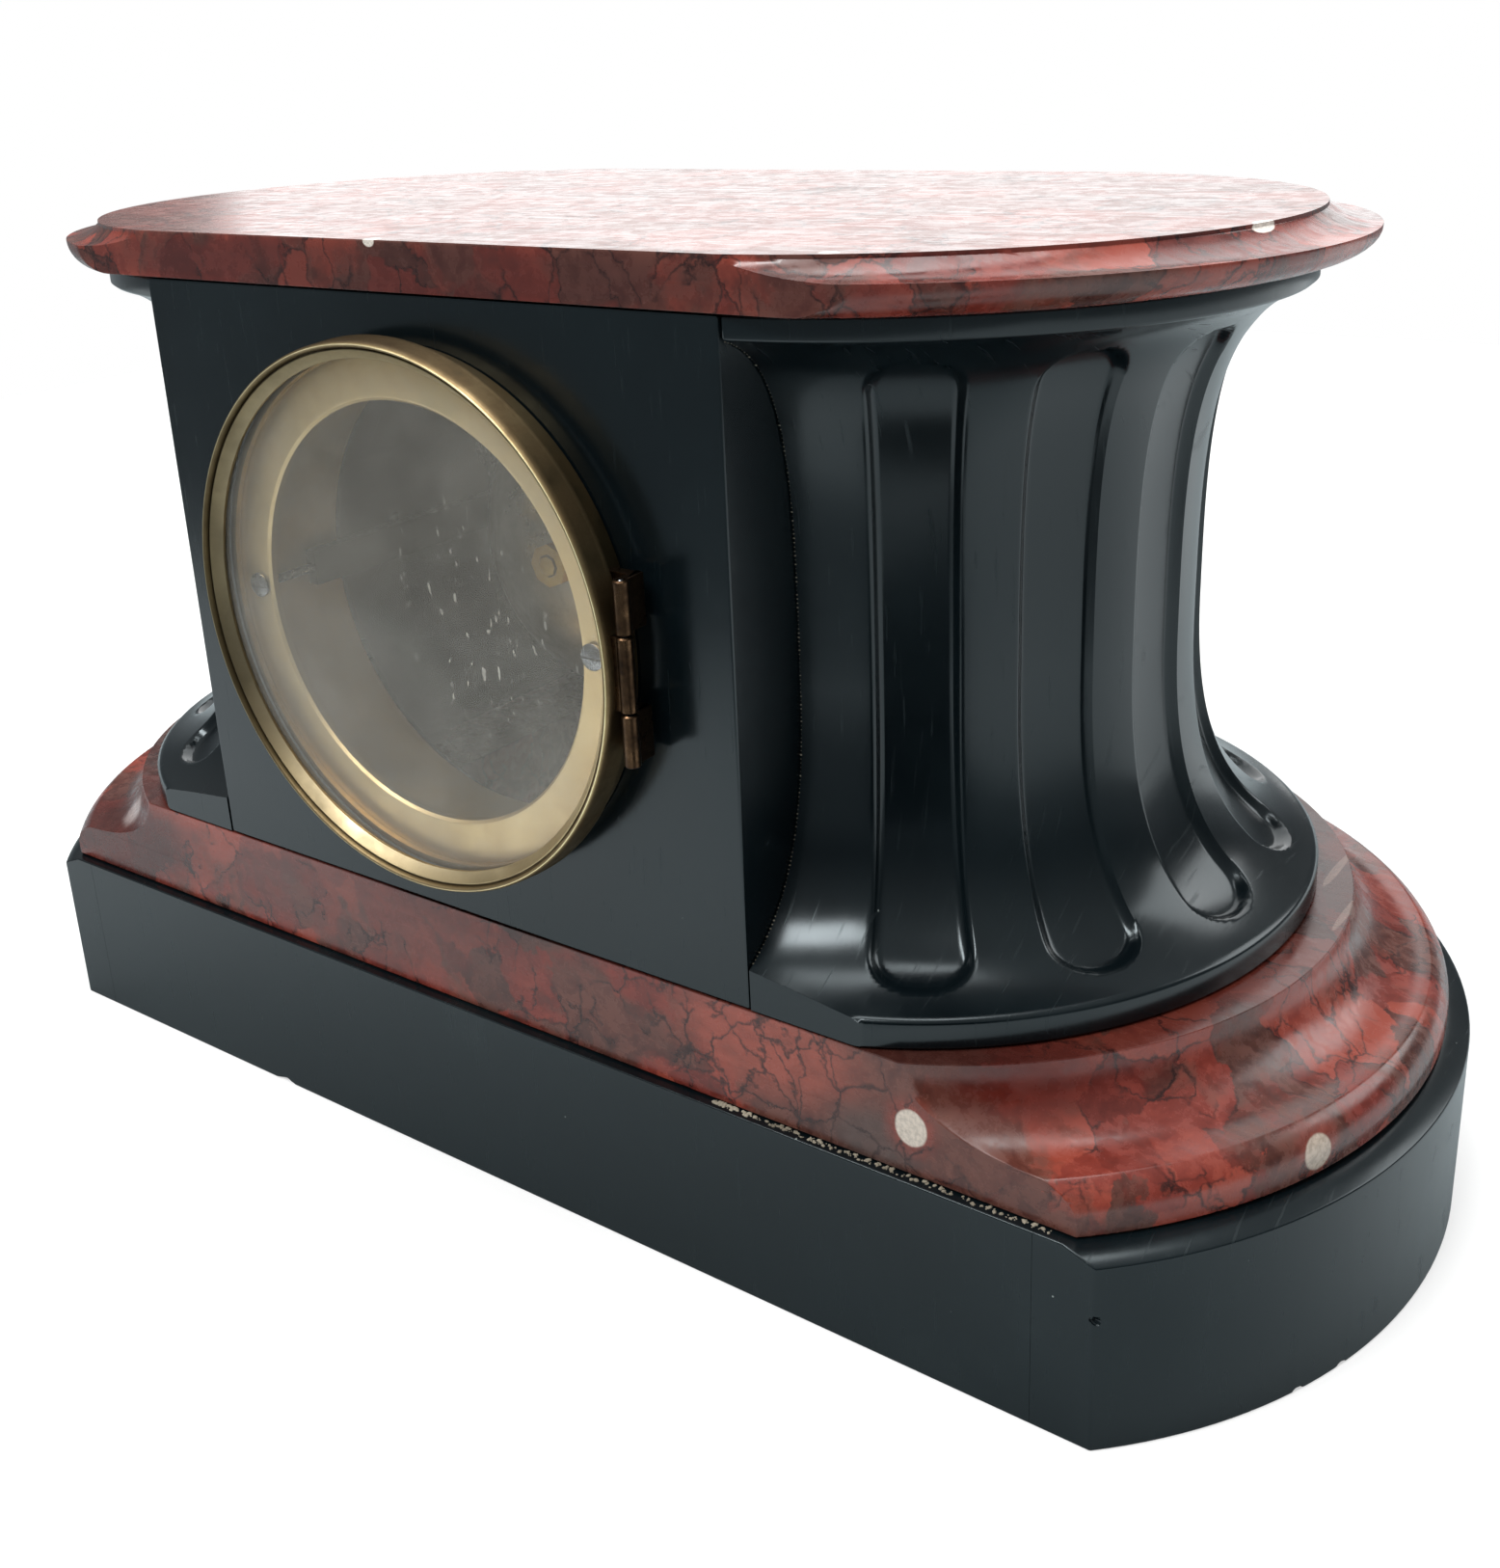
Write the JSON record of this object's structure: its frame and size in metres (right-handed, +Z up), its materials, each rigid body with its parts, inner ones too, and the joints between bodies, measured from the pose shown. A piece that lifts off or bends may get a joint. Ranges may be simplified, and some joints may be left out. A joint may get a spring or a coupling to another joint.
{
  "type": "mantel clock",
  "caption": "Low wide mantel clock of black slate and red marble with fluted drum ends, a hinged glazed brass back door, a dial, and a striking pendulum movement.",
  "frame": {"origin": "under the middle of the clock, on the surface that the plinth stands on", "axes": "+Z up; the dial faces -Y and the glazed back door faces +Y; +X is the viewer's right when facing the dial"},
  "size_m": [0.3328, 0.1668, 0.185],
  "materials": {
    "slate": "satin",
    "marble": "gloss",
    "brass": "satin",
    "glass": "polished",
    "enamel": "gloss",
    "steel": "satin",
    "blued_steel": "satin",
    "bell_metal": "satin"
  },
  "bodies": {
    "case": {"plinth_back_slab": "slate", "plinth_front_slab": "slate", "plinth_right_end": "slate", "plinth_left_end": "slate", "base_moulding": "marble", "back_panel": "slate", "front_panel": "slate", "right_drum": "slate", "left_drum": "slate", "top_slab": "marble", "back_flange": "brass", "back_hinge_pin": "steel", "front_bezel": "brass", "front_hinge_pin": "steel", "dial": "enamel", "front_plate": "brass", "back_plate": "brass", "left_strap": "steel", "right_strap": "steel", "left_strap_screw": "steel", "right_strap_screw": "steel", "suspension_cock": "brass", "bell_stand": "brass", "bell": "bell_metal", "bell_nut": "brass"},
    "back_door": {"back_door_ring": "brass", "back_door_glass": "glass"},
    "front_door": {"front_door_ring": "brass", "front_door_glass": "glass"},
    "minute": {"centre_wheel": "brass", "minute_hand": "blued_steel", "hand_collet": "brass"},
    "hour": {"hour_wheel": "brass", "hour_hand": "blued_steel"},
    "motion": {"minute_wheel": "brass"},
    "going_drum": {"going_barrel": "brass", "going_mainspring": "blued_steel"},
    "going_key": {"going_winding_arbor": "steel"},
    "third": {"third_wheel": "brass"},
    "escape": {"escape_wheel": "brass"},
    "pallets": {"anchor": "steel", "crutch": "steel"},
    "pendulum": {"suspension_spring": "steel", "pendulum_rod": "steel", "pendulum_bob": "brass", "rating_nut": "brass"},
    "strike_drum": {"strike_barrel": "brass", "strike_mainspring": "blued_steel"},
    "strike_key": {"strike_winding_arbor": "steel"},
    "count": {"count_wheel": "brass"},
    "pin": {"pin_wheel": "brass"},
    "fly_vane": {"fly": "brass"},
    "hammer_arm": {"hammer": "steel"}
  },
  "joints": [
    {"name": "back_door_hinge", "type": "hinge", "parent": "case", "child": "back_door", "pos_m": [-0.05255, 0.08075, 0.1191], "axis": [0, 0, 1], "range_deg": [0, 109]},
    {"name": "front_door_hinge", "type": "hinge", "parent": "case", "child": "front_door", "pos_m": [0.0562, -0.07875, 0.1191], "axis": [0, 0, 1], "range_deg": [0, 109]},
    {"name": "minute_turn", "type": "hinge", "parent": "case", "child": "minute", "pos_m": [0, -0.05, 0.1191], "axis": [0, 1, 0], "continuous": true},
    {"name": "hour_turn", "type": "hinge", "parent": "case", "child": "hour", "pos_m": [0, -0.068, 0.1191], "axis": [0, 1, 0], "continuous": true},
    {"name": "motion_turn", "type": "hinge", "parent": "case", "child": "motion", "pos_m": [0.0087, -0.064, 0.1278], "axis": [0, 1, 0], "continuous": true},
    {"name": "going_drum_turn", "type": "hinge", "parent": "case", "child": "going_drum", "pos_m": [-0.0185, -0.045, 0.1081], "axis": [0, 1, 0], "continuous": true},
    {"name": "going_key_turn", "type": "hinge", "parent": "case", "child": "going_key", "pos_m": [-0.0185, -0.045, 0.1081], "axis": [0, 1, 0], "continuous": true},
    {"name": "third_turn", "type": "hinge", "parent": "case", "child": "third", "pos_m": [-0.00897, -0.035, 0.13307], "axis": [0, 1, 0], "continuous": true},
    {"name": "escape_turn", "type": "hinge", "parent": "case", "child": "escape", "pos_m": [0.00003, -0.035, 0.14217], "axis": [0, 1, 0], "continuous": true},
    {"name": "pendulum_swing", "type": "hinge", "parent": "case", "child": "pendulum", "pos_m": [0.00003, -0.00825, 0.15297], "axis": [0, 1, 0], "range_deg": [-5, 5]},
    {"name": "pallets_rock", "type": "hinge", "parent": "case", "child": "pallets", "pos_m": [0.00003, -0.03, 0.15297], "axis": [0, 1, 0], "range_deg": [-5, 5]},
    {"name": "strike_drum_turn", "type": "hinge", "parent": "case", "child": "strike_drum", "pos_m": [0.0185, -0.045, 0.1081], "axis": [0, 1, 0], "continuous": true},
    {"name": "strike_key_turn", "type": "hinge", "parent": "case", "child": "strike_key", "pos_m": [0.0185, -0.045, 0.1081], "axis": [0, 1, 0], "continuous": true},
    {"name": "count_turn", "type": "hinge", "parent": "case", "child": "count", "pos_m": [0.0185, -0.012, 0.1081], "axis": [0, 1, 0], "continuous": true},
    {"name": "pin_turn", "type": "hinge", "parent": "case", "child": "pin", "pos_m": [0.01403, -0.035, 0.12844], "axis": [0, 1, 0], "continuous": true},
    {"name": "fly_turn", "type": "hinge", "parent": "case", "child": "fly_vane", "pos_m": [0.01902, -0.035, 0.13913], "axis": [0, 1, 0], "continuous": true},
    {"name": "hammer_swing", "type": "hinge", "parent": "case", "child": "hammer_arm", "pos_m": [0.0355, -0.005, 0.1111], "axis": [0, 1, 0], "range_deg": [0, 15]}
  ],
  "couplings": [
    {"joint": "hour_turn", "follows": "minute_turn", "ratio": 0.083333},
    {"joint": "motion_turn", "follows": "minute_turn", "ratio": -0.33333},
    {"joint": "going_drum_turn", "follows": "minute_turn", "ratio": -0.23224},
    {"joint": "third_turn", "follows": "minute_turn", "ratio": -3.9394},
    {"joint": "escape_turn", "follows": "minute_turn", "ratio": 15.758},
    {"joint": "pallets_rock", "follows": "pendulum_swing", "ratio": 1},
    {"joint": "count_turn", "follows": "strike_drum_turn", "ratio": 1},
    {"joint": "pin_turn", "follows": "strike_drum_turn", "ratio": -5.2192},
    {"joint": "fly_turn", "follows": "strike_drum_turn", "ratio": 24.791}
  ]
}
